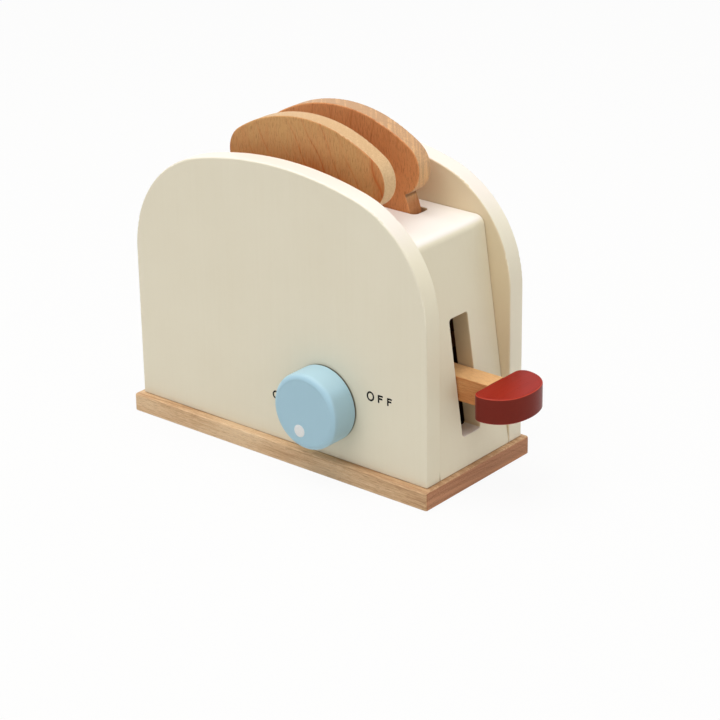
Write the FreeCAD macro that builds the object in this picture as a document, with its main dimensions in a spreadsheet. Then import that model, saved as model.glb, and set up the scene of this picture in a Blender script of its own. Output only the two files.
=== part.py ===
import FreeCAD, Part
import math
import os

import Sketcher

# Toy toaster in wood: arched panels on a base board, with a sprung tray, two slices of toast,
# a lever and a knob.
#
# +Z is up, +X points to the lever end and -Y to the knob side. The origin lies under the
# casing's middle, on the base board's underside. All sizes are in millimetres.

Vector = FreeCAD.Vector
Placement = FreeCAD.Placement
Rotation = FreeCAD.Rotation

os.makedirs("parts", exist_ok=True)
doc = FreeCAD.newDocument("toy_toaster")


# Driving dimensions, kept in the sheet under these names

DIMENSIONS = {
    # base board
    "base_length": 190.8,
    "base_width": 82.0,
    # how far the board lies forward of the casing's middle
    "base_forward": 0.9,
    "base_thickness": 9.5,
    "base_round": 1.2,
    "base_foot_round": 0.5,
    # the two arched panels
    "panel_half": 92.5,
    "panel_thickness": 10.3,
    "panel_gap": 54.8,
    "panel_top": 151.5,
    "shoulder_radius": 57.8,
    "crown_radius": 191.7,
    "panel_round": 0.9,
    # the eased edges that leave a fine groove where painted boards meet
    "seam_ease": 0.35,
    # casing boards between the panels
    "board_thickness": 9.5,
    "casing_top": 124.3,
    "casing_head_half": 76.4,
    "casing_corner": 5.0,
    # toast slots in the top board
    "toast_slot_length": 100.0,
    "toast_slot_width": 11.0,
    "toast_slot_centre": 13.6,
    "toast_slot_corner": 2.5,
    "slot_round": 0.5,
    # lever slot
    "lever_slot_width": 14.0,
    "lever_slot_foot": 24.4,
    "lever_slot_head": 83.0,
    "lever_slot_corner": 1.6,
    # slices of toast
    "toast_shift": 3.6,
    "toast_centre": 13.15,
    "toast_thickness": 9.1,
    "toast_top": 170.0,
    "toast_half_width": 48.7,
    "toast_crown_radius": 77.0,
    "toast_lobe_radius": 13.8,
    "toast_neck_half": 39.6,
    "toast_body_half": 44.0,
    "toast_side_radius": 40.0,
    "toast_corner": 4.0,
    "toast_notch_round": 0.8,
    "toast_round": 0.8,
    # tray and its fences
    "tray_length": 128.0,
    "tray_width": 48.4,
    "tray_thickness": 8.0,
    "tray_top": 63.1,
    "tray_round": 0.8,
    "fence_length": 96.0,
    "fence_height": 14.0,
    "fence_clearance": 0.6,
    "fence_chamfer": 1.2,
    # lever
    "bar_width": 12.6,
    "bar_height": 12.6,
    "bar_tail": 62.0,
    "bar_nose": 104.5,
    "bar_round": 0.5,
    "paddle_half": 19.7,
    "paddle_depth": 21.4,
    "paddle_thickness": 13.0,
    "paddle_nose_radius": 28.4,
    "paddle_cheek_radius": 15.7,
    "paddle_round": 0.8,
    # guide rods and springs
    "rod_radius": 3.0,
    "rod_along": 58.0,
    "rod_across": 16.0,
    "rod_socket": 5.0,
    "sliding_clearance": 0.08,
    "wire_radius": 0.35,
    "coil_radius": 4.6,
    "coil_turns": 8.0,
    "coil_clearance": 0.05,
    # knob and what holds it
    "knob_along": 30.4,
    "knob_level": 37.4,
    "knob_radius": 19.5,
    "knob_depth": 15.3,
    "knob_rim_round": 3.0,
    "knob_back_round": 0.6,
    "knob_gap": 0.8,
    "axle_radius": 4.0,
    "axle_socket": 10.0,
    "washer_radius": 8.0,
    "washer_thickness": 1.2,
    "recess_radius": 9.0,
    "recess_depth": 3.0,
    "washer_play": 0.3,
    "knob_screw_radius": 1.5,
    "knob_screw_length": 9.0,
    "knob_screw_head_radius": 3.5,
    "knob_screw_head_height": 2.0,
    "knob_screw_head_edge": 0.5,
    "knob_drive_arm": 2.2,
    "knob_drive_half": 0.45,
    "knob_drive_depth": 1.0,
    # dowels and wood screws
    "dowel_radius": 3.0,
    "dowel_in_panel": 6.8,
    "dowel_in_board": 4.8,
    "hole_slack": 0.3,
    "low_dowel_level": 40.0,
    "high_dowel_level": 100.0,
    "top_dowel_along": 30.0,
    "screw_radius": 1.75,
    "screw_head_radius": 3.6,
    "screw_head_height": 2.4,
    "screw_recess": 0.4,
    "screw_tip": 3.0,
    "screw_drive_arm": 1.75,
    "screw_drive_half": 0.5,
    "screw_drive_depth": 1.2,
    "base_screw_length": 28.0,
    "tray_screw_length": 17.5,
    "tray_screw_spacing": 45.0,
    "panel_screw_along": 70.0,
    "board_screw_lean": 1.3,
    "board_screw_across": 18.0,
    "paddle_dowel_half": 10.0,
}

sheet = doc.addObject("Spreadsheet::Sheet", "Sizes")
for row, (alias, millimetres) in enumerate(DIMENSIONS.items(), start=1):
    sheet.set("A%d" % row, alias)
    sheet.set("B%d" % row, str(millimetres))
    sheet.setAlias("B%d" % row, alias)
doc.recompute()


class Size:
    """A length that carries its number and the sheet's formula for it."""

    def __init__(self, number, formula):
        self.number = float(number)
        self.formula = formula

    def __add__(self, other):
        other = as_size(other)
        return Size(self.number + other.number, "(%s + %s)" % (self.formula, other.formula))

    def __sub__(self, other):
        other = as_size(other)
        return Size(self.number - other.number, "(%s - %s)" % (self.formula, other.formula))

    def __mul__(self, other):
        other = as_size(other)
        return Size(self.number * other.number, "(%s * %s)" % (self.formula, other.formula))

    def __truediv__(self, other):
        other = as_size(other)
        return Size(self.number / other.number, "(%s / %s)" % (self.formula, other.formula))

    def __neg__(self):
        return as_size(0) - self


def as_size(amount):
    """A plain number becomes a Size; a Size stays what it is."""
    if isinstance(amount, Size):
        return amount
    return Size(amount, "(%.6f)" % amount)


def root(size):
    return Size(math.sqrt(size.number), "sqrt(%s)" % size.formula)


class Sheet:
    """Gives the sheet's cells as attributes, so that size.base_length is a Size."""

    def __getattr__(self, alias):
        return Size(sheet.get(alias), "Sizes.%s" % alias)


size = Sheet()


# Helpers: bodies, sketches and features

# coordinates closer than this count as the same
SAME = 0.01
# a pocket that takes away less than this volume has missed its body
LEAST_CUT = 0.1


def new_body(label):
    body = doc.addObject("PartDesign::Body", label)
    body.Label = label
    return body


def put(thing, x=0, y=0, z=0, turn=0, axis=Vector(0, 0, 1)):
    """Sets a sub-part's Placement, with its position bound to the sheet."""
    x, y, z = as_size(x), as_size(y), as_size(z)
    thing.Placement = Placement(Vector(x.number, y.number, z.number), Rotation(axis, turn))
    thing.setExpression("Placement.Base.x", x.formula)
    thing.setExpression("Placement.Base.y", y.formula)
    thing.setExpression("Placement.Base.z", z.formula)


def new_sketch(body, name, role, offset=None):
    """A sketch on one of the body's own origin planes, moved along its normal by offset."""
    sketch = body.newObject("Sketcher::SketchObject", name)
    planes = [feature for feature in body.Origin.OriginFeatures if feature.Role == role]
    sketch.AttachmentSupport = [(planes[0], "")]
    sketch.MapMode = "FlatFace"
    if offset is not None:
        sketch.AttachmentOffset = Placement(Vector(0, 0, offset.number), Rotation())
        sketch.setExpression("AttachmentOffset.Base.z", offset.formula)
    return sketch


def hold(sketch, kind, amount, *where):
    """Adds a constraint whose value follows the sheet."""
    amount = as_size(amount)
    number = sketch.addConstraint(Sketcher.Constraint(kind, *where, amount.number))
    sketch.setExpression("Constraints[%d]" % number, amount.formula)


def hold_point(sketch, curve, vertex, x, y):
    hold(sketch, "DistanceX", x, -1, 1, curve, vertex)
    hold(sketch, "DistanceY", y, -1, 1, curve, vertex)


def arc_between(start, end, radius):
    """The short counter-clockwise arc from start to end."""
    chord = end - start
    half = chord.Length / 2
    left = Vector(-chord.y, chord.x, 0).normalize()
    centre = start + chord * 0.5 + left * math.sqrt(radius * radius - half * half)
    circle = Part.Circle(centre, Vector(0, 0, 1), radius)
    return Part.ArcOfCircle(circle, circle.parameter(start), circle.parameter(end))


def draw_outline(sketch, corners, arcs=None):
    """A closed counter-clockwise outline. arcs gives the radius of each side that is an arc."""
    arcs = arcs or {}
    points = [Vector(as_size(x).number, as_size(y).number, 0) for x, y in corners]
    first = len(sketch.Geometry)
    count = len(corners)
    for side in range(count):
        start = points[side]
        end = points[(side + 1) % count]
        if side in arcs:
            curve = arc_between(start, end, arcs[side].number)
        else:
            curve = Part.LineSegment(start, end)
        sketch.addGeometry(curve, False)
    for side in range(count):
        following = first + (side + 1) % count
        sketch.addConstraint(Sketcher.Constraint("Coincident", first + side, 2, following, 1))
    for side, (x, y) in enumerate(corners):
        hold_point(sketch, first + side, 1, x, y)
    for side, radius in arcs.items():
        hold(sketch, "Radius", radius, first + side)


def draw_circle(sketch, x, y, radius):
    x, y = as_size(x), as_size(y)
    circle = Part.Circle(Vector(x.number, y.number, 0), Vector(0, 0, 1), radius.number)
    curve = sketch.addGeometry(circle, False)
    hold_point(sketch, curve, 3, x, y)
    hold(sketch, "Radius", radius, curve)


def draw_rectangle(sketch, low_x, low_y, high_x, high_y):
    draw_outline(sketch, [(low_x, low_y), (high_x, low_y), (high_x, high_y), (low_x, high_y)])


def draw_slot(sketch, low_x, low_y, high_x, high_y, corner):
    """A rectangle with rounded corners."""
    points = [
        (low_x + corner, low_y), (high_x - corner, low_y),
        (high_x, low_y + corner), (high_x, high_y - corner),
        (high_x - corner, high_y), (low_x + corner, high_y),
        (low_x, high_y - corner), (low_x, low_y + corner),
    ]
    draw_outline(sketch, points, {1: corner, 3: corner, 5: corner, 7: corner})


def pad(body, sketch, length, both_ways=False, flip=False):
    feature = body.newObject("PartDesign::Pad", sketch.Name + "_pad")
    feature.Profile = sketch
    feature.SideType = "Symmetric" if both_ways else "One side"
    feature.Reversed = flip
    feature.setExpression("Length", length.formula)
    sketch.Visibility = False
    doc.recompute()
    return feature


def pocket(body, sketch, depth=None, flip=False, taper=0.0):
    """Cuts the sketch into the body, right through it where no depth is given."""
    before = body.Shape.Volume
    feature = body.newObject("PartDesign::Pocket", sketch.Name + "_pocket")
    feature.Profile = sketch
    feature.Reversed = flip
    feature.TaperAngle = taper
    if depth is None:
        feature.Type = "ThroughAll"
    else:
        feature.setExpression("Length", depth.formula)
    sketch.Visibility = False
    doc.recompute()
    if before - body.Shape.Volume < LEAST_CUT:
        raise RuntimeError("%s cuts nothing" % feature.Name)
    return feature


def edges_of(shape, test):
    """The names of the edges whose ends and middle, as a list of points, pass the test."""
    names = []
    for number, edge in enumerate(shape.Edges, start=1):
        middle = edge.valueAt((edge.FirstParameter + edge.LastParameter) / 2)
        points = [vertex.Point for vertex in edge.Vertexes] + [middle]
        if test(points):
            names.append("Edge%d" % number)
    return names


def soften(body, kind, amount, test):
    """A Fillet or a Chamfer on the edges that pass the test."""
    tip = body.Tip
    feature = body.newObject("PartDesign::" + kind, "%s_%s" % (body.Name, kind.lower()))
    feature.Base = (tip, edges_of(tip.Shape, test))
    feature.setExpression("Radius" if kind == "Fillet" else "Size", amount.formula)
    doc.recompute()
    return feature


def near(a, b):
    return abs(a - b) < SAME


# Places that several pieces share

half_gap = size.panel_gap / 2
casing_rise = size.casing_top - size.base_thickness
casing_run = size.panel_half - size.casing_head_half
casing_slant = root(casing_rise * casing_rise + casing_run * casing_run)
# an end board measured level, across its slant
board_level_width = size.board_thickness * casing_slant / casing_rise
top_underside = size.casing_top - size.board_thickness
tray_underside = size.tray_top - size.tray_thickness
bar_underside = tray_underside - size.bar_height
bar_middle = tray_underside - size.bar_height / 2
knob_back = half_gap + size.panel_thickness + size.knob_gap


def board_middle(level):
    """How far from the middle an end board's centre is, at a height above the floor."""
    drop = casing_run * (level - size.base_thickness) / casing_rise
    return size.panel_half - board_level_width / 2 - drop


DOWEL_PLACES = [
    (board_middle(size.low_dowel_level), size.low_dowel_level),
    (board_middle(size.high_dowel_level), size.high_dowel_level),
    (size.top_dowel_along, size.casing_top - size.board_thickness / 2),
]
# one rod in front at the lever end, one behind at the plain end, as the tray has them
ROD_PLACES = [
    ("front", size.rod_along, -size.rod_across),
    ("rear", -size.rod_along, size.rod_across),
]
ROD_SOCKETS = [(x, y) for _, x, y in ROD_PLACES]
TRAY_SCREWS = [(size.tray_screw_spacing * step, as_size(0)) for step in (-1, 0, 1)]
# an end board leans in as it rises, and its screws stand upright
END_SCREW_ALONG = board_middle(size.base_thickness) - size.board_screw_lean
# two screws in each panel and two in each end board
PANEL_MIDDLE = half_gap + size.panel_thickness / 2
SCREW_PLACES = [
    (along * end, across * side)
    for along, across in (
        (size.panel_screw_along, PANEL_MIDDLE), (END_SCREW_ALONG, size.board_screw_across))
    for end in (-1, 1) for side in (-1, 1)
]
# how deep a base screw's hole is above the base board
SCREW_BITE = size.screw_recess + size.base_screw_length + size.hole_slack - size.base_thickness
# the axle's inner end, measured from the middle of the toaster
AXLE_END = half_gap + size.recess_depth - size.washer_play


def circles(body, name, role, places, radius, offset=None):
    """A sketch with one circle at each place."""
    sketch = new_sketch(body, name, role, offset)
    for x, y in places:
        draw_circle(sketch, x, y, radius)
    return sketch


def countersink(body, places, underside):
    """Holes for countersunk screws that go up into the body from its underside."""
    name = body.Name
    rim = circles(body, name + "_recess", "XY_Plane", places, size.screw_head_radius, underside)
    pocket(body, rim, size.screw_recess, flip=True)
    seat_level = underside + size.screw_recess
    seat = circles(body, name + "_seat", "XY_Plane", places, size.screw_head_radius, seat_level)
    cone = pocket(body, seat, size.screw_head_height, flip=True)
    slope = (size.screw_head_radius - size.screw_radius) / size.screw_head_height
    cone.setExpression("TaperAngle", "-atan(%s)" % slope.formula)
    shank = circles(body, name + "_shank", "XY_Plane", places, size.screw_radius, underside)
    pocket(body, shank, flip=True)


# Casing

def make_base_board():
    body = new_body("base_board")
    outline = new_sketch(body, "base_outline", "XY_Plane")
    half_length = size.base_length / 2
    half_width = size.base_width / 2
    front, rear = -half_width - size.base_forward, half_width - size.base_forward
    draw_rectangle(outline, -half_length, front, half_length, rear)
    pad(body, outline, size.base_thickness)
    soften(body, "Fillet", size.base_round, lambda points: highest(points) > SAME)
    soften(body, "Fillet", size.base_foot_round, lambda points: at_level(points, 0))
    holes = circles(body, "base_sockets", "XY_Plane", ROD_SOCKETS, size.rod_radius, size.base_thickness)
    pocket(body, holes, size.rod_socket)
    countersink(body, SCREW_PLACES, as_size(0))
    return body


def highest(points):
    return max(point.z for point in points)


def make_panel(label, side):
    """An arched panel. side is -1 in front and 1 behind; its inner face is at its local y = 0."""
    body = new_body(label)
    arch = new_sketch(body, label + "_arch", "XZ_Plane")
    half = size.panel_half
    foot = size.base_thickness
    crown_centre = size.panel_top - size.crown_radius
    shoulder_across = half - size.shoulder_radius
    reach = size.crown_radius - size.shoulder_radius
    rise = root(reach * reach - shoulder_across * shoulder_across)
    shoulder_level = crown_centre + rise
    # where a shoulder arc meets the crown arc
    meet_x = size.crown_radius * shoulder_across / reach
    meet_z = crown_centre + size.crown_radius * rise / reach
    corners = [
        (-half, foot), (half, foot), (half, shoulder_level),
        (meet_x, meet_z), (-meet_x, meet_z), (-half, shoulder_level),
    ]
    shoulder = size.shoulder_radius
    draw_outline(arch, corners, {2: shoulder, 3: size.crown_radius, 4: shoulder})
    pad(body, arch, size.panel_thickness)
    foot_level = size.base_thickness.number

    def on_a_face(points):
        level_with_face = all(near(point.y, points[0].y) for point in points)
        return level_with_face and not near(highest(points), foot_level)

    soften(body, "Fillet", size.panel_round, on_a_face)
    soften(body, "Chamfer", size.seam_ease, lambda points: at_level(points, foot_level))
    dowels = [(x * end, z) for x, z in DOWEL_PLACES for end in (-1, 1)]
    holes = circles(body, label + "_dowels", "XZ_Plane", dowels, size.dowel_radius)
    pocket(body, holes, size.dowel_in_panel + size.hole_slack, flip=True)
    middle = -size.panel_thickness / 2
    screws = [(size.panel_screw_along * end, middle) for end in (-1, 1)]
    holes = circles(body, label + "_screws", "XY_Plane", screws, size.screw_radius, foot)
    pocket(body, holes, SCREW_BITE, flip=True)
    if side < 0:
        centre = [(size.knob_along, size.knob_level)]
        bearing = size.axle_radius + size.sliding_clearance
        hole = circles(body, "axle_hole", "XZ_Plane", centre, bearing)
        pocket(body, hole, flip=True)
        recess = circles(body, "washer_recess", "XZ_Plane", centre, size.recess_radius)
        pocket(body, recess, size.recess_depth, flip=True)
    put(body, y=half_gap * side, turn=0 if side < 0 else 180)
    return body


def make_end_board(label, slotted):
    """A sloping end board, drawn at the lever end; the plain one is the same turned round."""
    body = new_body(label)
    section = new_sketch(body, label + "_section", "XZ_Plane")
    foot = size.base_thickness
    top = size.casing_top
    head = size.casing_head_half
    # how far the rounded corner reaches along each face
    corner = size.casing_corner * (casing_slant - casing_run) / casing_rise
    corners = [
        (size.panel_half - board_level_width, foot),
        (size.panel_half, foot),
        (head + corner * casing_run / casing_slant, top - corner * casing_rise / casing_slant),
        (head - corner, top),
        (head - board_level_width, top),
    ]
    draw_outline(section, corners, {2: size.casing_corner})
    pad(body, section, size.panel_gap, both_ways=True)
    foot_level = size.base_thickness.number

    def on_a_seam(points):
        return beside_a_panel(points) or at_level(points, foot_level)

    soften(body, "Chamfer", size.seam_ease, on_a_seam)
    if slotted:
        slot = new_sketch(body, "lever_slot", "YZ_Plane")
        half = size.lever_slot_width / 2
        low, high = size.lever_slot_foot, size.lever_slot_head
        draw_slot(slot, -half, low, half, high, size.lever_slot_corner)
        pocket(body, slot, flip=True)
        slope = casing_run.number / casing_rise.number
        foot_half = size.panel_half.number

        def on_outer_rim(points):
            outside = all(near(p.x, foot_half - slope * (p.z - foot_level)) for p in points)
            return outside and all(abs(p.y) < size.lever_slot_width.number for p in points)

        soften(body, "Fillet", size.slot_round, on_outer_rim)
    drill_board_sides(body, label, DOWEL_PLACES[:2])
    screws = [(END_SCREW_ALONG, size.board_screw_across * across) for across in (-1, 1)]
    holes = circles(body, label + "_screws", "XY_Plane", screws, size.screw_radius, foot)
    pocket(body, holes, SCREW_BITE, flip=True)
    put(body, turn=0 if slotted else 180)
    return body


def beside_a_panel(points):
    """Whether an edge of a board lies against the front or the rear panel."""
    return all(near(abs(point.y), half_gap.number) for point in points)


def drill_board_sides(body, label, dowels):
    """Dowel holes in both sides of a board that lies between the panels."""
    depth = size.dowel_in_board + size.hole_slack
    front = circles(body, label + "_front_dowels", "XZ_Plane", dowels, size.dowel_radius, half_gap)
    pocket(body, front, depth)
    rear = circles(body, label + "_rear_dowels", "XZ_Plane", dowels, size.dowel_radius, -half_gap)
    pocket(body, rear, depth, flip=True)


def make_top_board():
    body = new_body("top_board")
    section = new_sketch(body, "top_section", "XZ_Plane")
    top_half = size.casing_head_half - board_level_width
    low_half = top_half + casing_run * size.board_thickness / casing_rise
    top = size.casing_top
    corners = [
        (-low_half, top_underside), (low_half, top_underside), (top_half, top), (-top_half, top),
    ]
    draw_outline(section, corners)
    pad(body, section, size.panel_gap, both_ways=True)
    top_level = top.number

    def on_upper_seam(points):
        return at_level(points, top_level) and beside_a_panel(points)

    soften(body, "Chamfer", size.seam_ease, on_upper_seam)
    slots = new_sketch(body, "toast_slots", "XY_Plane", top)
    half_length = size.toast_slot_length / 2
    half_width = size.toast_slot_width / 2
    for side in (-1, 1):
        middle = size.toast_slot_centre * side
        low, high = middle - half_width, middle + half_width
        draw_slot(slots, -half_length, low, half_length, high, size.toast_slot_corner)
    pocket(body, slots)
    slot_end = half_length.number + SAME

    def on_slot_rim(points):
        return at_level(points, top_level) and all(abs(point.x) < slot_end for point in points)

    soften(body, "Fillet", size.slot_round, on_slot_rim)
    holes = circles(body, "top_sockets", "XY_Plane", ROD_SOCKETS, size.rod_radius, top_underside)
    pocket(body, holes, size.rod_socket, flip=True)
    x, z = DOWEL_PLACES[2]
    drill_board_sides(body, "top_board", [(-x, z), (x, z)])
    return body


def make_guide_rods():
    rods = []
    for end, x, y in ROD_PLACES:
        rod = doc.addObject("Part::Cylinder", "guide_rod_" + end)
        rod.Label = "guide_rod_" + end
        rod.setExpression("Radius", size.rod_radius.formula)
        length = top_underside - size.base_thickness + size.rod_socket * 2
        rod.setExpression("Height", length.formula)
        put(rod, x, y, size.base_thickness - size.rod_socket)
        rods.append(rod)
    return rods


def make_springs():
    """A coil spring round each rod, from the base board up to the tray."""
    springs = []
    for end, x, y in ROD_PLACES:
        label = "return_spring_" + end
        lift = size.wire_radius + size.coil_clearance
        height = tray_underside - size.base_thickness - lift * 2
        coil = doc.addObject("Part::Helix", label + "_coil")
        coil.setExpression("Radius", size.coil_radius.formula)
        coil.setExpression("Height", height.formula)
        coil.setExpression("Pitch", (height / size.coil_turns).formula)
        # the coil is drawn in stretches of one turn each
        coil.SegmentLength = 1
        wire = doc.addObject("Part::Circle", label + "_wire")
        wire.setExpression("Radius", size.wire_radius.formula)
        put(wire, size.coil_radius, turn=90, axis=Vector(1, 0, 0))
        doc.recompute()
        spring = doc.addObject("Part::Sweep", label)
        spring.Label = label
        spring.Sections = [wire]
        spring.Spine = (coil, ["Edge%d" % number for number in range(1, len(coil.Shape.Edges) + 1)])
        spring.Solid = True
        spring.Frenet = True
        put(spring, x, y, size.base_thickness + lift)
        springs.append(spring)
    return springs


# Tray and lever

def make_tray():
    body = new_body("toast_tray")
    outline = new_sketch(body, "tray_outline", "XY_Plane", tray_underside)
    half_length = size.tray_length / 2
    half_width = size.tray_width / 2
    draw_rectangle(outline, -half_length, -half_width, half_length, half_width)
    pad(body, outline, size.tray_thickness)
    soften(body, "Fillet", size.tray_round, lambda points: True)
    bearing = size.rod_radius + size.sliding_clearance
    holes = circles(body, "tray_bearings", "XY_Plane", ROD_SOCKETS, bearing, tray_underside)
    pocket(body, holes, flip=True)
    bite = size.tray_screw_length + size.screw_recess - size.bar_height + size.hole_slack
    pilots = circles(body, "tray_pilots", "XY_Plane", TRAY_SCREWS, size.screw_radius, tray_underside)
    pocket(body, pilots, bite, flip=True)
    return body


def make_fence(label, low_y, high_y):
    """A strip on the tray; its two long top edges are chamfered."""
    body = new_body(label)
    outline = new_sketch(body, label + "_outline", "XY_Plane", size.tray_top)
    half_length = size.fence_length / 2
    draw_rectangle(outline, -half_length, low_y, half_length, high_y)
    pad(body, outline, size.fence_height)
    top = size.tray_top.number + size.fence_height.number
    soften(body, "Chamfer", size.fence_chamfer, lambda points: at_level(points, top))
    return body


def make_fences():
    face = size.toast_centre - size.toast_thickness / 2 - size.fence_clearance
    back = size.toast_centre + size.toast_thickness / 2 + size.fence_clearance
    edge = size.tray_width / 2
    return [
        make_fence("front_fence", -edge, -back),
        make_fence("middle_fence", -face, face),
        make_fence("rear_fence", back, edge),
    ]


def make_lever_bar():
    body = new_body("lever_bar")
    section = new_sketch(body, "bar_section", "YZ_Plane", -size.bar_tail)
    half = size.bar_width / 2
    draw_rectangle(section, -half, bar_underside, half, tray_underside)
    pad(body, section, size.bar_tail + size.bar_nose)
    soften(body, "Fillet", size.bar_round, lambda points: not near(points[0].x, points[1].x))
    middle = [(0, bar_middle)]
    socket = circles(body, "bar_socket", "YZ_Plane", middle, size.dowel_radius, size.bar_nose)
    pocket(body, socket, size.paddle_dowel_half + size.hole_slack)
    countersink(body, TRAY_SCREWS, bar_underside)
    return body


def make_paddle():
    body = new_body("lever_paddle")
    underside = bar_middle - size.paddle_thickness / 2
    outline = new_sketch(body, "paddle_outline", "XY_Plane", underside)
    half = size.paddle_half
    cheek, nose = size.paddle_cheek_radius, size.paddle_nose_radius
    cheek_y = half - cheek
    reach = nose - cheek
    nose_x = size.bar_nose + size.paddle_depth - nose
    cheek_run = root(reach * reach - cheek_y * cheek_y)
    cheek_x = nose_x + cheek_run
    # the rounded corners run from the flat side straight into the cheeks
    corner = cheek_x - size.bar_nose
    # where a cheek arc meets the nose arc
    meet_x = nose_x + nose * cheek_run / reach
    meet_y = nose * cheek_y / reach
    corners = [
        (size.bar_nose, corner - half), (cheek_x, -half), (meet_x, -meet_y),
        (meet_x, meet_y), (cheek_x, half), (size.bar_nose, half - corner),
    ]
    draw_outline(outline, corners, {0: corner, 1: cheek, 2: nose, 3: cheek, 4: corner})
    pad(body, outline, size.paddle_thickness)
    soften(body, "Fillet", size.paddle_round, is_level)
    middle = [(0, bar_middle)]
    socket = circles(body, "paddle_socket", "YZ_Plane", middle, size.dowel_radius, size.bar_nose)
    pocket(body, socket, size.paddle_dowel_half + size.hole_slack, flip=True)
    return body


def is_level(points):
    return all(near(point.z, points[0].z) for point in points)


def make_paddle_dowel():
    body = new_body("paddle_dowel")
    start = size.bar_nose - size.paddle_dowel_half
    section = circles(body, "dowel_end", "YZ_Plane", [(0, bar_middle)], size.dowel_radius, start)
    pad(body, section, size.paddle_dowel_half * 2)
    return body


# Slices of toast

def make_toast(label, side):
    body = new_body(label)
    outline = new_sketch(body, label + "_outline", "XZ_Plane")
    half = size.toast_body_half
    neck = size.toast_neck_half
    lobe, crown = size.toast_lobe_radius, size.toast_crown_radius
    corner = size.toast_corner
    foot = size.tray_top
    crown_centre = size.toast_top - crown
    lobe_x = size.toast_half_width - lobe
    reach = crown - lobe
    lobe_rise = root(reach * reach - lobe_x * lobe_x)
    lobe_z = crown_centre + lobe_rise
    meet_x = crown * lobe_x / reach
    meet_z = crown_centre + crown * lobe_rise / reach
    # the notch under a lobe, and where the side below it turns upright
    neck_z = lobe_z - root(lobe * lobe - (neck - lobe_x) * (neck - lobe_x))
    flare = size.toast_side_radius - (half - neck)
    side_z = neck_z - root(size.toast_side_radius * size.toast_side_radius - flare * flare)
    right = [
        (half - corner, foot), (half, foot + corner), (half, side_z),
        (neck, neck_z), (meet_x, meet_z),
    ]
    left = [(-x, z) for x, z in reversed(right)]
    arcs = {
        0: corner, 2: size.toast_side_radius, 3: lobe, 4: crown,
        5: lobe, 6: size.toast_side_radius, 8: corner,
    }
    draw_outline(outline, right + left, arcs)
    pad(body, outline, size.toast_thickness, both_ways=True)
    notch_level = neck_z.number
    soften(body, "Fillet", size.toast_notch_round, lambda points: at_level(points, notch_level))
    soften(body, "Fillet", size.toast_round, on_slice_face)
    put(body, size.toast_shift, size.toast_centre * side)
    return body


def at_level(points, level):
    return all(near(point.z, level) for point in points)


def on_slice_face(points):
    return all(near(point.y, points[0].y) for point in points)


# Knob

def make_knob():
    body = new_body("knob")
    centre = [(size.knob_along, size.knob_level)]
    disc = circles(body, "knob_disc", "XZ_Plane", centre, size.knob_radius)
    pad(body, disc, size.knob_depth)
    depth = size.knob_depth.number
    soften(body, "Fillet", size.knob_rim_round, lambda points: all(near(p.y, -depth) for p in points))
    soften(body, "Fillet", size.knob_back_round, lambda points: all(near(p.y, 0) for p in points))
    bore = circles(body, "knob_bore", "XZ_Plane", centre, size.axle_radius)
    pocket(body, bore, size.axle_socket, flip=True)
    put(body, y=-knob_back)
    return body


def make_knob_axle():
    body = new_body("knob_axle")
    centre = [(size.knob_along, size.knob_level)]
    section = circles(body, "axle_section", "XZ_Plane", centre, size.axle_radius)
    pad(body, section, knob_back + size.axle_socket - AXLE_END)
    pilot = circles(body, "axle_pilot", "XZ_Plane", centre, size.knob_screw_radius)
    pocket(body, pilot, size.knob_screw_length + size.hole_slack, flip=True)
    put(body, y=-AXLE_END)
    return body


def make_knob_washer():
    body = new_body("knob_washer")
    ring = new_sketch(body, "washer_ring", "XZ_Plane")
    draw_circle(ring, size.knob_along, size.knob_level, size.washer_radius)
    bore = size.knob_screw_radius + size.sliding_clearance
    draw_circle(ring, size.knob_along, size.knob_level, bore)
    pad(body, ring, size.washer_thickness)
    put(body, y=size.washer_thickness - AXLE_END)
    return body


def make_knob_screw():
    """A pan head screw, drawn along its local y with the head at +y."""
    body = new_body("knob_screw")
    profile = new_sketch(body, "knob_screw_profile", "XY_Plane")
    shank, head = size.knob_screw_radius, size.knob_screw_head_radius
    length = size.knob_screw_length + size.washer_thickness
    edge = size.knob_screw_head_edge
    dome = size.knob_screw_head_height - edge
    dome_radius = (head * head + dome * dome) / (dome * 2)
    corners = [
        (0, -length), (shank, -length), (shank, 0), (head, 0),
        (head, edge), (0, size.knob_screw_head_height),
    ]
    draw_outline(profile, corners, {4: dome_radius})
    revolve(body, profile)
    drive = new_sketch(body, "knob_screw_drive", "XZ_Plane", -size.knob_screw_head_height)
    draw_cross(drive, size.knob_drive_arm, size.knob_drive_half)
    pocket(body, drive, size.knob_drive_depth, flip=True)
    put(body, size.knob_along, size.washer_thickness - AXLE_END, size.knob_level)
    return body


def revolve(body, profile):
    feature = body.newObject("PartDesign::Revolution", profile.Name + "_turned")
    feature.Profile = profile
    feature.ReferenceAxis = (profile, ["V_Axis"])
    feature.Angle = 360
    profile.Visibility = False
    doc.recompute()
    return feature


def draw_cross(sketch, arm, half):
    """A screw's cross drive: arm is its reach and half is half the width of an arm."""
    quarter = [(arm, -half), (arm, half), (half, half)]
    corners = []
    for _ in range(4):
        corners += quarter
        quarter = [(-y, x) for x, y in quarter]
    draw_outline(sketch, corners)


# Fasteners: one drawn, and the others its copies

def make_wood_screw(name, length):
    """A countersunk wood screw, point up, with the flat of its head at its local z = 0."""
    body = new_body(name)
    profile = new_sketch(body, name + "_profile", "XZ_Plane")
    shank = size.screw_radius
    corners = [
        (0, 0), (size.screw_head_radius, 0), (shank, size.screw_head_height),
        (shank, length - size.screw_tip), (0, length),
    ]
    draw_outline(profile, corners)
    revolve(body, profile)
    drive = new_sketch(body, name + "_drive", "XY_Plane")
    draw_cross(drive, size.screw_drive_arm, size.screw_drive_half)
    pocket(body, drive, size.screw_drive_depth, flip=True)
    return body


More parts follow.
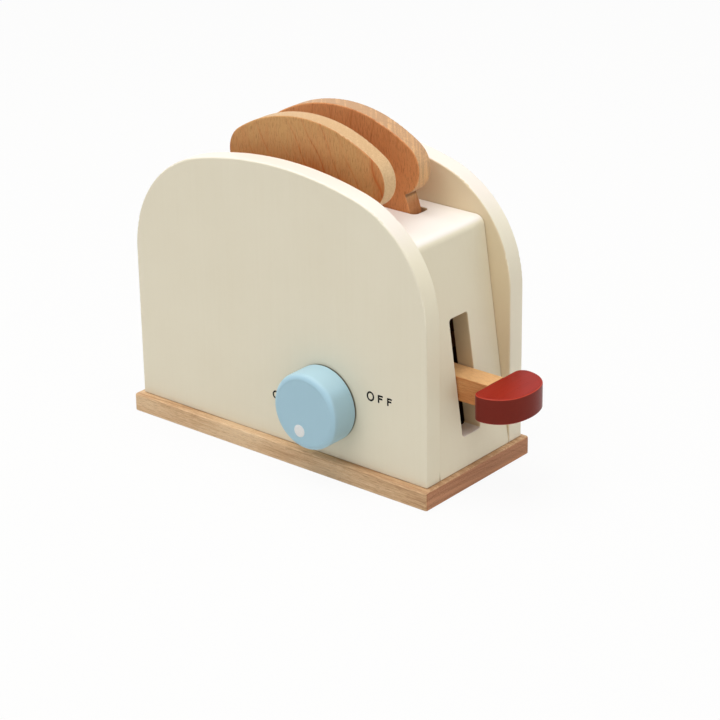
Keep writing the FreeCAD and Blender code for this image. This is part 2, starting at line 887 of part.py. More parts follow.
def make_dowel(name):
    """A dowel along its local -y."""
    body = new_body(name)
    section = circles(body, name + "_section", "XZ_Plane", [(0, 0)], size.dowel_radius)
    pad(body, section, size.dowel_in_panel + size.dowel_in_board)
    return body


def make_group(label, original, places):
    """Copies of one fastener at several places, as separate solids of one sub-part."""
    copies = []
    for number, (x, y, z) in enumerate(places, start=1):
        copy = doc.addObject("App::Link", "%s_%d" % (label, number))
        copy.LinkedObject = original
        put(copy, x, y, z)
        copies.append(copy)
    group = doc.addObject("Part::Compound", label)
    group.Label = label
    group.Links = copies
    return group


def make_fasteners():
    base_screw = make_wood_screw("base_screw_original", size.base_screw_length)
    tray_screw = make_wood_screw("tray_screw_original", size.tray_screw_length)
    dowel = make_dowel("dowel_original")
    base_places = [(x, y, size.screw_recess) for x, y in SCREW_PLACES]
    tray_level = bar_underside + size.screw_recess
    tray_places = [(x, y, tray_level) for x, y in TRAY_SCREWS]
    dowel_places = []
    for x, z in DOWEL_PLACES:
        for end in (-1, 1):
            dowel_places.append((x * end, size.dowel_in_board - half_gap, z))
            dowel_places.append((x * end, half_gap + size.dowel_in_panel, z))
    return [
        make_group("base_screws", base_screw, base_places),
        make_group("tray_screws", tray_screw, tray_places),
        make_group("joint_dowels", dowel, dowel_places),
    ]


# Build, check and write

sub_parts = [
    make_base_board(),
    make_panel("front_panel", -1),
    make_panel("rear_panel", 1),
    make_end_board("lever_end_board", True),
    make_end_board("plain_end_board", False),
    make_top_board(),
    *make_guide_rods(),
    *make_springs(),
    make_tray(),
    *make_fences(),
    make_lever_bar(),
    make_paddle(),
    make_paddle_dowel(),
    make_toast("toast_front", -1),
    make_toast("toast_rear", 1),
    make_knob(),
    make_knob_axle(),
    make_knob_washer(),
    make_knob_screw(),
    *make_fasteners(),
]
doc.recompute()

for thing in doc.Objects:
    if "Invalid" in thing.State or "Error" in thing.State:
        raise RuntimeError("%s failed: %s" % (thing.Name, thing.State))
for part in sub_parts:
    if part.Shape.isNull() or not part.Shape.isValid() or not part.Shape.Solids:
        raise RuntimeError("%s has no sound shape" % part.Label)
for part in sub_parts:
    part.Shape.exportStep("parts/%s.step" % part.Label)
    print("%-22s %d solid(s) %10.1f mm3" % (part.Label, len(part.Shape.Solids), part.Shape.Volume))
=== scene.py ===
import math

import bmesh
import bpy
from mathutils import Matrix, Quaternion, Vector


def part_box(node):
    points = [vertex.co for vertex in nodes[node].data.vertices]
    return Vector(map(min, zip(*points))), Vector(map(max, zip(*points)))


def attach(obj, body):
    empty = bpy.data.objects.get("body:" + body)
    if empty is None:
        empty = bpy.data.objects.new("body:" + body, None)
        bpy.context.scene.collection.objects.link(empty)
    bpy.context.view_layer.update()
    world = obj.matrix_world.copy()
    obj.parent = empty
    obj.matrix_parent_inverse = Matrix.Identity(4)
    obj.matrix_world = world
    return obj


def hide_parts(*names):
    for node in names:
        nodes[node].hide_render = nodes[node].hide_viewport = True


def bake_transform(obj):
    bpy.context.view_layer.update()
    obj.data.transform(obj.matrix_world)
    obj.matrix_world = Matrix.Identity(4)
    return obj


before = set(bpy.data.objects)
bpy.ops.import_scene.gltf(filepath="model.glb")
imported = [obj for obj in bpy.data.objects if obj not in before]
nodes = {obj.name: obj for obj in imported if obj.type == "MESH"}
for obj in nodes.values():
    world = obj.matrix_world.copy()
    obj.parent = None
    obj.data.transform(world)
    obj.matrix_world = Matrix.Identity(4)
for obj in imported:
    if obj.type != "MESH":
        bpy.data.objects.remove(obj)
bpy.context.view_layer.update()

millimetre = 0.001
print("frame loaded:", len(nodes), "wooden and steel pieces")


# colours are written as 0 to 255 and turned into the linear ones that a shader wants
def colour(red, green, blue):
    linear = []
    for part in (red, green, blue):
        share = part / 255
        linear.append(share / 12.92 if share <= 0.04045 else ((share + 0.055) / 1.055) ** 2.4)
    return (*linear, 1.0)


# a node's output that can stand in a sum: each operator adds its Math node
class Flow:
    def __init__(self, maker, socket):
        self.maker = maker
        self.socket = socket

    def maths(self, operation, *terms):
        return self.maker.node("ShaderNodeMath", {"operation": operation}, dict(enumerate(terms)))

    def __add__(self, other):
        return self.maths("ADD", self, other)

    __radd__ = __add__

    def __sub__(self, other):
        return self.maths("SUBTRACT", self, other)

    def __rsub__(self, other):
        return self.maths("SUBTRACT", other, self)

    def __mul__(self, other):
        return self.maths("MULTIPLY", self, other)

    __rmul__ = __mul__

    def __pow__(self, other):
        return self.maths("POWER", self, other)

    def __abs__(self):
        return self.maths("ABSOLUTE", self)

    # the larger of this value and another
    def larger(self, other):
        return self.maths("MAXIMUM", self, other)

    # up to the height and back to 0, again and again
    def zigzag(self, height):
        return self.maths("PINGPONG", self, height)

    # how far the value has come from low to high, held between 0 and 1
    def between(self, low, high):
        return self.maker.node("ShaderNodeMapRange", {"interpolation_type": "SMOOTHSTEP"},
                               {"Value": self, "From Min": low, "From Max": high})

    # swings evenly about a middle while this value goes from 0 to 1
    def about(self, middle, swing):
        return self * swing + (middle - swing / 2)


# makes the nodes in the tree of a material or of the world
class NodeMaker:
    def __init__(self, owner):
        owner.use_nodes = True
        self.tree = owner.node_tree
        self.tree.nodes.clear()

    # settings come first, then the values or links of the sockets; a closing node gives nothing back
    def node(self, kind, settings=None, inputs=None, output=0):
        made = self.tree.nodes.new(kind)
        for setting, value in (settings or {}).items():
            if setting == "stops":
                self.setStops(made.color_ramp, value)
            else:
                setattr(made, setting, value)
        for socket, value in (inputs or {}).items():
            self.feed(made.inputs[socket], value)
        return Flow(self, made.outputs[output]) if len(made.outputs) else None

    def setStops(self, ramp, stops):
        while len(ramp.elements) < len(stops):
            ramp.elements.new(1.0)
        for element, (place, tint) in zip(ramp.elements, stops):
            element.position = place
            element.color = tint

    def feed(self, socket, value):
        if isinstance(value, Flow):
            self.tree.links.new(value.socket, socket)
        else:
            socket.default_value = value


# where a face begins to count as turned to an axis and where it fully does: one way by its share
# along the axis, and either way by that share's square
turnLimit = {"oneWay": (0.5, 0.85), "eitherWay": (0.45, 0.8)}


# a material under way: its patterns, and in the end the Principled shader that they feed
class Finish(NodeMaker):
    def __init__(self, name):
        self.material = bpy.data.materials.new(name)
        super().__init__(self.material)

    def apart(self, vector):
        return [self.node("ShaderNodeSeparateXYZ", None, {0: vector}, axis) for axis in range(3)]

    # three values as one vector, each times its scale
    def together(self, values, scales):
        scaled = [value * scale for value, scale in zip(values, scales)]
        return self.node("ShaderNodeCombineXYZ", None, dict(enumerate(scaled)))

    # the place on the piece in millimetres, along x, y and z
    def place(self):
        metres = self.node("ShaderNodeTexCoord", output="Object")
        return self.apart(self.node("ShaderNodeVectorMath", {"operation": "SCALE"},
                                    {0: metres, "Scale": 1 / millimetre}))

    # the way the surface faces, along x, y and z
    def facing(self):
        return self.apart(self.node("ShaderNodeTexCoord", output="Normal"))

    # how much the surface faces along the named axes, either way, or one way after a plus or minus
    def turnedTo(self, axes):
        towards = dict(zip("xyz", self.facing()))
        if axes[0] in "+-":
            sign, axis = axes
            return (towards[axis] * float(sign + "1")).between(*turnLimit["oneWay"])
        return sum(towards[axis] ** 2.0 for axis in axes).between(*turnLimit["eitherWay"])

    # scales are per millimetre along each axis, and roughness is how strong the finer layers are
    def noise(self, places, scales, detail, roughness):
        return self.node("ShaderNodeTexNoise", None, {
            "Vector": self.together(places, scales), "Scale": 1.0, "Detail": detail, "Roughness": roughness})

    # round spots that fade over the outer half of their size
    def spots(self, places, scale, size):
        away = self.node("ShaderNodeTexVoronoi", None, {
            "Vector": self.together(places, (scale, scale, scale)), "Scale": 1.0}, "Distance")
        return away.between(size, size / 2)

    def mix(self, share, first, second):
        return self.node("ShaderNodeMix", {"data_type": "RGBA", "clamp_factor": True},
                         {0: share, 6: first, 7: second}, 2)

    def ramp(self, value, stops):
        return self.node("ShaderNodeValToRGB", {"stops": stops}, {0: value})

    # the depth is in millimetres
    def dent(self, height, depth, strength):
        return self.node("ShaderNodeBump", None, {
            "Strength": strength, "Distance": depth * millimetre, "Height": height})

    def close(self, tint, roughness, normal, shine):
        shader = self.node("ShaderNodeBsdfPrincipled", None, {
            **shine, "Base Color": tint, "Roughness": roughness, "Normal": normal})
        self.node("ShaderNodeOutputMaterial", None, {"Surface": shader})
        return self.material


def coat(material, *names):
    for name in names:
        mesh = nodes[name].data
        mesh.materials.clear()
        mesh.materials.append(material)


# the distance that two sides at right angles span
def span(one, other):
    return (one * one + other * other) ** 0.5


# camera: where a person stands who sees the knob side and the lever end. The place, near and far are
# in metres, the angles in degrees, the lens and the sensor in millimetres
cameraSetup = {
    "place": (0.73401, -0.85467, 0.52328),
    "turn": 39.83,
    "dip": 23.29,
    "roll": -0.90,
    "lens": 122.69,
    "sensor": 36.0,
    "near": 0.01,
    "far": 50.0,
}


def makeCamera():
    turn, dip, roll = (math.radians(cameraSetup[part]) for part in ("turn", "dip", "roll"))
    back = Vector((math.sin(turn) * math.cos(dip), -math.cos(turn) * math.cos(dip), math.sin(dip)))
    camera = bpy.data.objects.new("camera", bpy.data.cameras.new("camera"))
    camera.data.lens = cameraSetup["lens"]
    camera.data.sensor_width = cameraSetup["sensor"]
    camera.data.clip_start = cameraSetup["near"]
    camera.data.clip_end = cameraSetup["far"]
    camera.location = cameraSetup["place"]
    camera.rotation_mode = "QUATERNION"
    camera.rotation_quaternion = (-back).to_track_quat("-Z", "Y") @ Quaternion((0, 0, 1), roll)
    bpy.context.scene.collection.objects.link(camera)
    bpy.context.scene.camera = camera


makeCamera()
print("camera placed")


# beech: grain is the axis the fibres run along, and pith is where the tree's middle lies across it.
# ring is the width of a year's growth and wander how far the rings stray, in millimetres, and lean is
# how much they slope along the board. line, strand, fibre and cloud are how strongly each darkens the
# tone, level is how much browner the faces that lie level are, and fade is where along the grain the
# wood begins and ceases to darken and by how much. cut names the axes that sawn ends and edges face,
# which have tints of their own, year lines by cutLine, and streaks that run by cutRun across the grain
baseBoardWood = {
    "grain": "x", "pith": (-16.0, -90.0), "ring": 3.4, "wander": 5.0, "lean": 0.01, "line": 0.34,
    "strand": 0.9, "fibre": 1.0, "cloud": 0.8, "level": 0.1, "fade": (20.0, 95.0, 0.2),
    "light": (231, 201, 163), "middle": (217, 181, 140), "dark": (182, 140, 101),
    "fleck": (152, 106, 70), "fleckShare": 0.3,
    "cut": "x", "cutLight": (194, 138, 99), "cutDark": (154, 102, 69),
    "cutLine": 0.4, "cutRun": (0.03, 0.7),
    "roughness": 0.5,
}
# front slice: its fade darkens the face towards the bottom, a painted shade along the panel's rim
frontToastWood = {
    "grain": "z", "pith": (135.0, 10.0), "ring": 9.4, "wander": 16.0, "lean": 0.5, "line": 0.34,
    "strand": 0.35, "fibre": 0.6, "cloud": 0.8, "level": 0.4, "fade": (168.0, 126.0, 0.44),
    "light": (203, 155, 98), "middle": (203, 143, 88), "dark": (191, 104, 49),
    "fleck": (138, 80, 42), "fleckShare": 0.45,
    "cut": "xz", "cutLight": (227, 194, 148), "cutDark": (199, 162, 118),
    "cutLine": 0.16, "cutRun": (0.5, 0.5),
    "neckShadeShare": 0.5, "notchShadowShare": 0.6,
    "roughness": 0.5,
}
# rear slice: its tints are lighter than the front's as painted light, making up for the shade between the
# slices, and its fade is a faint painted shade towards the bottom
rearToastWood = {
    "grain": "z", "pith": (52.0, -70.0), "ring": 9.0, "wander": 12.0, "lean": -0.2, "line": 0.2,
    "strand": 0.3, "fibre": 0.6, "cloud": 0.9, "level": 0.35, "fade": (165.0, 115.0, 0.1),
    "light": (222, 156, 100), "middle": (219, 148, 92), "dark": (192, 115, 63),
    "fleck": (146, 82, 44), "fleckShare": 0.45,
    "cut": "xz", "cutLight": (224, 178, 127), "cutDark": (183, 143, 106),
    "cutLine": 0.5, "cutRun": (0.8, 0.7),
    "neckShadeShare": 0.7, "notchShadowShare": 0.7,
    "roughness": 0.5,
}
# lever: its negative level makes the faces that lie level lighter, painted light from above
leverWood = {
    "grain": "x", "pith": (-34.0, 40.0), "ring": 3.6, "wander": 3.0, "lean": 0.02, "line": 0.16,
    "strand": 0.5, "fibre": 0.8, "cloud": 0.7, "level": -0.55,
    "light": (226, 176, 120), "middle": (216, 148, 92), "dark": (192, 120, 68),
    "fleck": (160, 98, 54), "fleckShare": 0.3,
    "cut": "x", "cutLight": (190, 142, 98), "cutDark": (164, 116, 78),
    "cutLine": 0.4, "cutRun": (0.5, 0.5),
    "roughness": 0.52,
}
innerWood = {
    "grain": "x", "pith": (-44.0, 60.0), "ring": 4.0, "wander": 6.0, "lean": 0.02, "line": 0.2,
    "strand": 0.7, "fibre": 0.8, "cloud": 0.8, "level": 0.0,
    "light": (198, 160, 116), "middle": (180, 138, 94), "dark": (150, 110, 72),
    "fleck": (124, 86, 54), "fleckShare": 0.35,
    "cut": "x", "cutLight": (170, 128, 90), "cutDark": (140, 100, 68),
    "cutLine": 0.4, "cutRun": (0.5, 0.5),
    "roughness": 0.6,
}
# a slice's edge is darker from its neck down, a painted shade, and darkest in the notch under its lobe, a
# painted shadow
sliceNeckShade = {
    "lobe": 133.0, "neck": 127.0, "notch": 132.4, "notchReach": 1.4, "notchCore": 0.3,
    "notchShadowTint": (104, 62, 34),
}
# patterns in every beech: how fine along the grain and both ways across it, per millimetre, then the
# layers of detail and how strong the finer layers are
beechPattern = {
    "drift": ((0.016, 0.024, 0.024), 2.0, 0.5),
    "growth": ((0.02, 0.04, 0.04), 1.0, 0.5),
    "fibre": ((0.16, 3.6, 3.6), 3.0, 0.6),
    "strand": ((0.03, 0.7, 0.7), 3.0, 0.6),
    "cloud": ((0.022, 0.04, 0.06), 2.0, 0.5),
    "ray": ((0.28, 3.0, 3.0), 1.0, 0.5),
    "pore": ((0.9, 7.0, 7.0), 1.0, 0.5),
    "speck": ((1.1, 1.3, 1.3), 2.0, 0.6),
    "streak": ((1.0, 0.08, 0.06), 3.0, 0.5),
}
# how strong a pattern is where its marks begin and where they are full
beechMark = {"growth": (0.32, 0.52), "ray": (0.56, 0.67), "pore": (0.58, 0.7)}
# the tone at which each tint is reached
beechTone = {"light": 0.24, "middle": 0.5, "dark": 0.82, "cutLight": 0.2, "cutDark": 0.85}
# linePower thins the year lines, cutMiddle is the tone of a sawn face, and the rest are shares
beechStrength = {
    "linePower": 14.0, "pore": 0.3, "speck": 0.9, "streak": 3.0, "cutMiddle": 0.45, "fibreSheen": 0.16,
}
beechRelief = {"fibre": 0.5, "ray": 0.4, "pore": 0.5, "depth": 0.06, "strength": 0.5}
beechShine = {"IOR": 1.47, "Specular IOR Level": 0.3}


def beech(name, wood):
    finish = Finish(name)
    places = finish.place()
    first = "xyz".index(wood["grain"])
    board = places[first:] + places[:first]
    along, left, up = board

    def pattern(kind):
        return finish.noise(board, *beechPattern[kind])

    def stops(*kinds):
        return [(beechTone[kind], colour(*wood[kind])) for kind in kinds]

    # the tree isn't straight, so its rings drift and lean along the board
    drift = (pattern("drift") - 0.5) * wood["wander"]
    fromPithLeft = left + along * wood["lean"] + drift - wood["pith"][0]
    fromPithUp = up + drift - wood["pith"][1]
    years = span(fromPithLeft, fromPithUp) * (1 / wood["ring"])
    # a year's growth ends in a thin darker line, stronger in some places than in others
    growth = pattern("growth").between(*beechMark["growth"])
    ring = (1 - years.zigzag(0.5) * 2.0) ** beechStrength["linePower"] * growth
    fibre = pattern("fibre")
    strand = pattern("strand")
    cloud = pattern("cloud")
    # rays: short dark dashes along the grain, and finer pores between them
    ray = pattern("ray").between(*beechMark["ray"])
    pore = pattern("pore").between(*beechMark["pore"])
    level = finish.facing()[2] ** 2.0
    # patterns lie about 0.5, and so does the tone
    tone = ((cloud - 0.5) * wood["cloud"] + (strand - 0.5) * wood["strand"]
            + (fibre - 0.5) * wood["fibre"] + ring * wood["line"]
            + level * wood["level"] + 0.5)
    if "fade" in wood:
        begins, ceases, amount = wood["fade"]
        tone = tone + (along.between(begins, ceases) - 0.5) * amount
    tint = finish.ramp(tone, stops("light", "middle", "dark"))
    tint = finish.mix(ray * wood["fleckShare"], tint, colour(*wood["fleck"]))
    tint = finish.mix(pore * beechStrength["pore"], tint, colour(*wood["fleck"]))
    # sawn ends and edges take the light in their own way
    speck = (pattern("speck") - 0.5) * beechStrength["speck"]
    runLeft, runUp = wood["cutRun"]
    streak = finish.noise((left * runLeft + up * runUp, along, up), *beechPattern["streak"])
    cutTone = (speck + (streak - 0.5) * wood["cutLine"] * beechStrength["streak"] + ring * wood["cutLine"]
               + level * wood["level"] + beechStrength["cutMiddle"])
    cutTint = finish.ramp(cutTone, stops("cutLight", "cutDark"))
    # painted shade below the neck and a painted shadow in the notch
    if "neckShadeShare" in wood:
        below = along.between(sliceNeckShade["lobe"], sliceNeckShade["neck"])
        cutTint = finish.mix(below * wood["neckShadeShare"], cutTint, colour(*wood["dark"]))
        notch = abs(along - sliceNeckShade["notch"]).between(sliceNeckShade["notchReach"], sliceNeckShade["notchCore"])
        cutTint = finish.mix(notch * wood["notchShadowShare"], cutTint, colour(*sliceNeckShade["notchShadowTint"]))
    tint = finish.mix(finish.turnedTo(wood["cut"]), tint, cutTint)
    roughness = fibre.about(wood["roughness"], beechStrength["fibreSheen"])
    relief = fibre * beechRelief["fibre"] - ray * beechRelief["ray"] - pore * beechRelief["pore"]
    normal = finish.dent(relief, beechRelief["depth"], beechRelief["strength"])
    return finish.close(tint, roughness, normal, beechShine)


coat(beech("oiledBeechBase", baseBoardWood), "base_board")
coat(beech("oiledBeechFrontSlice", frontToastWood), "toast_front")
coat(beech("oiledBeechRearSlice", rearToastWood), "toast_rear")
coat(beech("bareBeechLever", leverWood), "lever_bar")
coat(beech("bareBeechInside", innerWood), "toast_tray", "front_fence", "middle_fence", "rear_fence",
     "joint_dowels", "paddle_dowel", "knob_axle")
print("beech laid on base, slices, lever and tray")


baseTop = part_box("base_board")[1].z / millimetre
panelInside = -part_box("front_panel")[1].y / millimetre
knobLow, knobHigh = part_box("knob")
knobMiddle = (knobLow + knobHigh) / 2

# paint: cloud is how much the coat's tone drifts, and streak how far the wood's grain shows through,
# which runs along the axis named grain. edges are faces tinted by where they look, as painted light and
# shade: where they look, their tint and its share. joints are where the boards meet, darkened by dust
# and by painted contact shade. Inside, where the casing closes a panel in, the panel is bare wood darkened
# further by painted shade, and round and under the knob's edge it carries a painted shadow of the knob
foot, sides = ("z", baseTop), ("y", panelInside)
# bare wood, darkened further by painted shade, on the panels' faces that the casing closes in
shadedBareInside = {"reach": 72.0, "head": 113.0, "soft": 1.0, "depth": 0.6, "tint": (112, 82, 54)}
# painted shadow of the knob on the panel, just round its edge
knobShade = {"wider": 0.2, "soft": 0.7, "tint": (100, 92, 74), "share": 0.8}
creamPaint = {
    "grain": "z", "tint": (236, 229, 208), "deep": (226, 216, 191), "cloud": 0.6, "streak": 0.26,
    "roughness": 0.42, "shine": {"IOR": 1.5, "Specular IOR Level": 0.4},
    # painted light: faces turned up are whiter, as if lit from above
    "edges": (("+z", (236, 226, 216), 0.85),),
    # dust and painted contact shade where the boards meet
    "joints": (foot,), "dustAndShade": (136, 118, 92), "dustAndShadeReach": 0.5,
}
creamFront = {
    # painted shade: the panel's ends, facing along x, are a little darker
    **creamPaint, "edges": creamPaint["edges"] + (("x", (230, 221, 192), 0.4),),
    "shadedInside": shadedBareInside, "underKnob": knobShade,
}
creamRear = {
    # painted reflection: the inner face is tan from warm light thrown back by the slices
    **creamPaint, "edges": creamPaint["edges"] + (("-y", (223, 199, 155), 0.6),),
    "shadedInside": shadedBareInside,
}
creamEnds = {
    **creamPaint, "tint": (233, 226, 202), "deep": (223, 212, 185), "joints": (foot, sides),
    # painted light on faces turned up, and painted shade with warm reflected light on faces along y, in the
    # lever slot and where the boards meet the panels
    "edges": (("+z", (238, 232, 226), 0.9), ("y", (212, 186, 144), 0.7)),
}
creamTop = {**creamEnds, "grain": "x", "joints": (sides,)}
# a painted highlight runs along rounded edges, whose slope is neither upright nor level
redPaint = {
    "grain": "y", "tint": (170, 36, 17), "deep": (134, 24, 12), "cloud": 0.9, "streak": 0.9,
    "roughness": 0.3, "shine": {"IOR": 1.3, "Specular IOR Level": 0.2},
    # painted shade: the paddle's sides are a darker red than its top
    "edges": (("xy", (112, 42, 32), 0.85),), "joints": (),
    "rimHighlight": {"tint": (206, 84, 66), "share": 0.55, "offUpright": (0.25, 0.6), "offLevel": (0.97, 0.85)},
}
# crease is the step from the knob's face to its rounded rim: distance from the axis, reach and rise
bluePaint = {
    "grain": "z", "tint": (170, 205, 221), "deep": (158, 194, 211), "cloud": 0.5, "streak": 0.2,
    "roughness": 0.48, "shine": {"IOR": 1.5, "Specular IOR Level": 0.34},
    # painted light on the knob's upper side and painted shade on its sides along x
    "edges": (("+z", (176, 206, 216), 0.6), ("x", (150, 178, 186), 0.6)), "joints": (),
    "crease": (16.5, 0.35, 5.0),
}
# patterns in every coat, written as those in beech, but along x, y and z
coatPattern = {
    "cloud": ((0.022, 0.022, 0.022), 3.0, 0.55),
    "skin": ((1.6, 1.6, 1.6), 2.0, 0.55),
    "fine": ((7.0, 7.0, 7.0), 1.0, 0.5),
}
coatGrain = {"along": 0.018, "across": 0.5, "detail": 3.0, "roughness": 0.6}
coatNick = {"scale": 0.11, "size": 0.055}
coatShare = {"fine": 0.08, "less": 0.15, "nick": 0.25, "dustAndShade": 0.8}
coatSheen = {"skin": 0.12, "fine": 0.06}
coatRelief = {"skin": 0.5, "grain": 0.4, "fine": 0.12, "nick": 0.8, "depth": 0.05, "strength": 0.4}


def fromKnobAxis(x, z):
    return span(x - knobMiddle.x / millimetre, z - knobMiddle.z / millimetre)


def paint(name, look):
    finish = Finish(name)
    places = finish.place()
    x, y, z = places
    cloud = finish.noise(places, *coatPattern["cloud"])
    skin = finish.noise(places, *coatPattern["skin"])
    fine = finish.noise(places, *coatPattern["fine"])
    nick = finish.spots(places, coatNick["scale"], coatNick["size"])
    # the wood's own grain shows faintly through the coat
    scales = [coatGrain["along"] if axis == look["grain"] else coatGrain["across"] for axis in "xyz"]
    grain = finish.noise(places, scales, coatGrain["detail"], coatGrain["roughness"])
    share = cloud * look["cloud"] + grain * look["streak"] + fine * coatShare["fine"] - coatShare["less"]
    tint = finish.mix(share, colour(*look["tint"]), colour(*look["deep"]))
    tint = finish.mix(nick * coatShare["nick"], tint, colour(*look["deep"]))
    # painted light and shade: faces are tinted by where they look
    for axes, lightAndShadeTint, lightAndShadeShare in look["edges"]:
        tint = finish.mix(finish.turnedTo(axes) * lightAndShadeShare, tint, colour(*lightAndShadeTint))
    # painted highlight along the rounded edges
    if "rimHighlight" in look:
        rimHighlight = look["rimHighlight"]
        slope = abs(finish.facing()[2])
        ridge = slope.between(*rimHighlight["offUpright"]) * slope.between(*rimHighlight["offLevel"])
        tint = finish.mix(ridge * rimHighlight["share"], tint, colour(*rimHighlight["tint"]))
    # dust and painted contact shade along the joints
    for axis, at in look["joints"]:
        near = abs(abs(places["xyz".index(axis)]) - at).between(look["dustAndShadeReach"], 0.0)
        tint = finish.mix(near * coatShare["dustAndShade"], tint, colour(*look["dustAndShade"]))
    # painted shade: bare wood darkened where the casing closes a panel in
    if "shadedInside" in look:
        shadePatch = look["shadedInside"]
        deep = abs(y).between(panelInside + shadePatch["depth"], panelInside)
        across = abs(x).between(shadePatch["reach"] + shadePatch["soft"], shadePatch["reach"])
        below = z.between(shadePatch["head"] + shadePatch["soft"], shadePatch["head"])
        tint = finish.mix(deep * across * below, tint, colour(*shadePatch["tint"]))
    # painted shadow of the knob round its edge
    if "underKnob" in look:
        shadePatch = look["underKnob"]
        edge = (knobHigh.x - knobLow.x) / 2 / millimetre + shadePatch["wider"]
        under = fromKnobAxis(x, z).between(edge, edge - shadePatch["soft"])
        tint = finish.mix(under * shadePatch["share"], tint, colour(*shadePatch["tint"]))
    roughness = skin.about(0.0, coatSheen["skin"]) + fine.about(look["roughness"], coatSheen["fine"])
    relief = (skin * coatRelief["skin"] + grain * coatRelief["grain"] + fine * coatRelief["fine"]
              - nick * coatRelief["nick"])
    if "crease" in look:
        # the coat stands a little higher on the rounded rim than on the face
        at, reach, rise = look["crease"]
        relief = relief + fromKnobAxis(x, z).between(at - reach, at + reach) * rise
    normal = finish.dent(relief, coatRelief["depth"], coatRelief["strength"])
    return finish.close(tint, roughness, normal, look["shine"])


coat(paint("creamPaintFront", creamFront), "front_panel")
coat(paint("creamPaintRear", creamRear), "rear_panel")
coat(paint("creamPaintEnds", creamEnds), "lever_end_board", "plain_end_board")
coat(paint("creamPaintTop", creamTop), "top_board")
coat(paint("redPaintPaddle", redPaint), "lever_paddle")
coat(paint("bluePaintKnob", bluePaint), "knob")
print("cream, red and blue paint sprayed")


# steel: ground rods, and zinc plated screws, washer and springs. line is the pattern of fine marks
# and bloom, in every steel, that of duller patches, both written as those in paint
rodSteel = {"tint": (196, 197, 200), "roughness": 0.28, "line": ((6.0, 6.0, 0.2), 3.0, 0.6)}
zincSteel = {"tint": (188, 190, 188), "roughness": 0.36, "line": ((3.0, 3.0, 3.0), 3.0, 0.6)}
steelBloom = {
    "tint": (150, 152, 156), "bloom": ((0.3, 0.3, 0.3), 2.0, 0.5), "share": 0.5, "lineShare": 0.2,
    "lineSheen": 0.16, "depth": 0.01, "strength": 0.4,
}


def steel(name, look):
    finish = Finish(name)
    places = finish.place()
    line = finish.noise(places, *look["line"])
    bloom = finish.noise(places, *steelBloom["bloom"])
    share = bloom * steelBloom["share"] + line * steelBloom["lineShare"]
    tint = finish.mix(share, colour(*look["tint"]), colour(*steelBloom["tint"]))
    roughness = line.about(look["roughness"], steelBloom["lineSheen"])
    normal = finish.dent(line, steelBloom["depth"], steelBloom["strength"])
    return finish.close(tint, roughness, normal, {"Metallic": 1.0})


coat(steel("groundSteelRod", rodSteel), "guide_rod_front", "guide_rod_rear")
platedSteel = steel("zincSteel", zincSteel)
coat(platedSteel, "base_screws", "tray_screws", "knob_screw", "knob_washer",
     "return_spring_front", "return_spring_rear")
print("rods, springs and screws plated")


# the cosine and sine of each step round a circle
def roundSteps(steps):
    for step in range(steps):
        angle = 2 * math.pi * step / steps
        yield math.cos(angle), math.sin(angle)


# a band of faces between two rings of vertices
def bridge(mesh, near, far):
    return [mesh.faces.new((near[step - 1], near[step], far[step], far[step - 1]))
            for step in range(len(near))]


# rings of vertices joined one after the other, with a face over each end
def joinRings(mesh, rings):
    for near, far in zip(rings, rings[1:]):
        bridge(mesh, near, far)
    mesh.faces.new(rings[0])
    mesh.faces.new(rings[-1])


# bands are smooth, and the faces over the ends stay flat
def smoothBands(piece):
    for polygon in piece.data.polygons:
        polygon.use_smooth = len(polygon.vertices) == 4


def newPiece(name, mesh, material):
    bmesh.ops.recalc_face_normals(mesh, faces=mesh.faces)
    data = bpy.data.meshes.new(name)
    mesh.to_mesh(data)
    mesh.free()
    data.materials.append(material)
    piece = bpy.data.objects.new(name, data)
    bpy.context.scene.collection.objects.link(piece)
    return piece


# print: a tint and a second one in patches, whose pattern is written as those in paint
inkLook = {
    "tint": (12, 11, 11), "patchTint": (26, 24, 23), "patch": ((2.5, 2.5, 2.5), 2.0, 0.5),
    "roughness": 0.55, "patchSheen": 0.2, "depth": 0.01, "strength": 0.3,
    "shine": {"IOR": 1.3, "Specular IOR Level": 0.3},
}
dotLook = {
    "tint": (238, 238, 236), "patchTint": (222, 224, 226), "patch": ((0.8, 0.8, 0.8), 2.0, 0.5),
    "roughness": 0.475, "patchSheen": 0.15, "depth": 0.02, "strength": 0.3,
    "shine": {"IOR": 1.5},
}


def printed(name, look):
    finish = Finish(name)
    patch = finish.noise(finish.place(), *look["patch"])
    tint = finish.mix(patch, colour(*look["tint"]), colour(*look["patchTint"]))
    roughness = patch.about(look["roughness"], look["patchSheen"])
    return finish.close(tint, roughness, finish.dent(patch, look["depth"], look["strength"]), look["shine"])


# lettering: each letter is its kind, left edge and foot from the knob's middle, width and height, in
# millimetres. Letters stand proud of the panel by their skin, and ease rounds their corners. waist and
# arm are how high F's lower arm lies and how far it reaches, as shares of the letter, and slant is how
# many strokes high N's sloping stroke is at its ends
lettering = {
    "stroke": 0.9,
    "skin": 0.03,
    "ease": 0.12,
    "easeSteps": 3,
    "steps": 40,
    "waist": 0.44,
    "arm": 0.9,
    "slant": 1.6,
    "off": [("O", 26.0, 8.3, 4.6, 5.1), ("F", 32.8, 8.7, 3.1, 4.2), ("F", 38.4, 8.7, 2.9, 4.1)],
    "on": [("O", -33.9, -7.0, 4.2, 4.5), ("N", -27.8, -7.0, 3.5, 4.2)],
}
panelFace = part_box("front_panel")[0].y


def outlineF(width, height):
    stroke = lettering["stroke"]
    waist, arm = height * lettering["waist"], width * lettering["arm"]
    return [(0, 0), (stroke, 0), (stroke, waist), (arm, waist), (arm, waist + stroke),
            (stroke, waist + stroke), (stroke, height - stroke), (width, height - stroke),
            (width, height), (0, height)]


